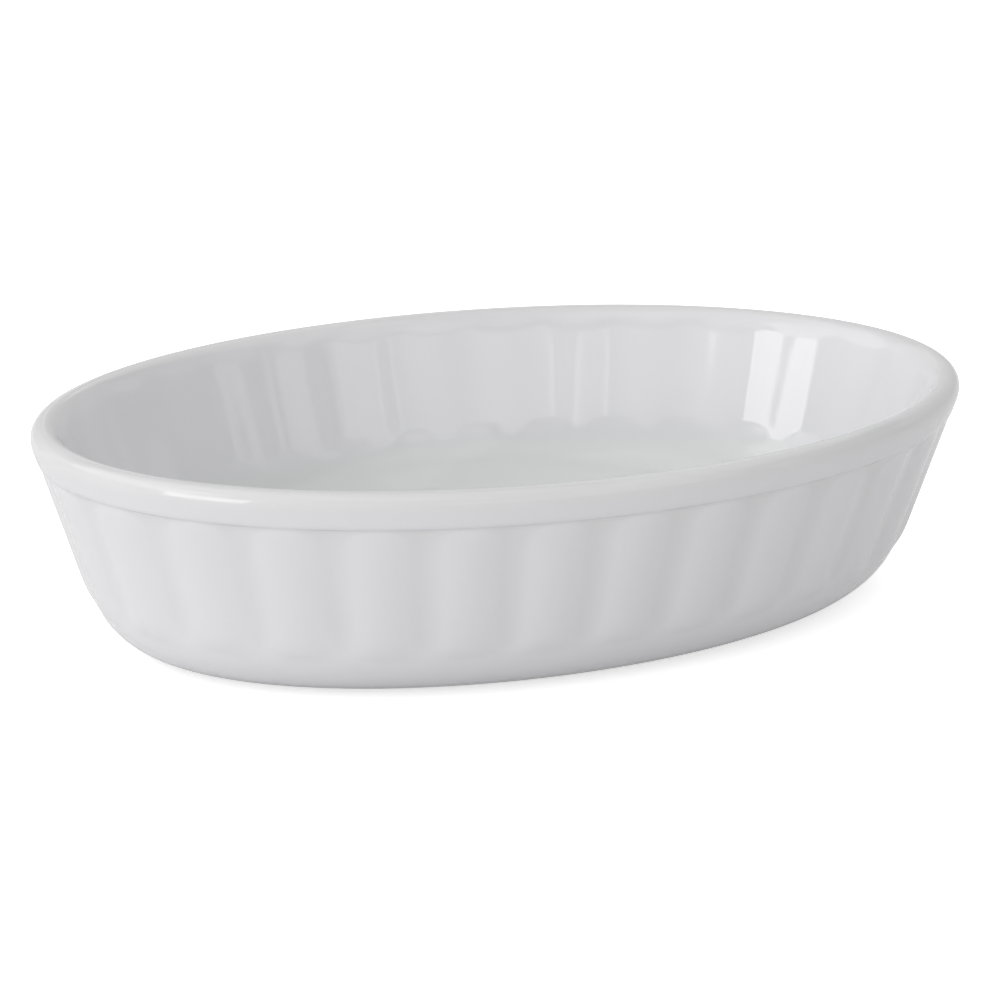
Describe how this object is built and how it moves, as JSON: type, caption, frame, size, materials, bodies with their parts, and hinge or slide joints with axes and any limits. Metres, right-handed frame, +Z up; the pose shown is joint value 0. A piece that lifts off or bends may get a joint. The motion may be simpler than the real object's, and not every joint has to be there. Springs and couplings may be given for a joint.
{
  "type": "creme brulee dish",
  "caption": "Shallow oval baking dish in white glazed porcelain with a round bead rim, vertical flutes outside and inside, and a flat foot ring to stand on.",
  "frame": {"origin": "centre of the foot ring's plane, on the surface that the dish stands on", "axes": "+X along the oval's long axis, +Y along its short axis, +Z up out of the bowl"},
  "size_m": [0.128, 0.0886, 0.029],
  "materials": {
    "glaze": "glossy clear glaze over white porcelain, bare on the foot ring"
  },
  "bodies": {
    "root": {"dish": "glaze"}
  },
  "joints": []
}
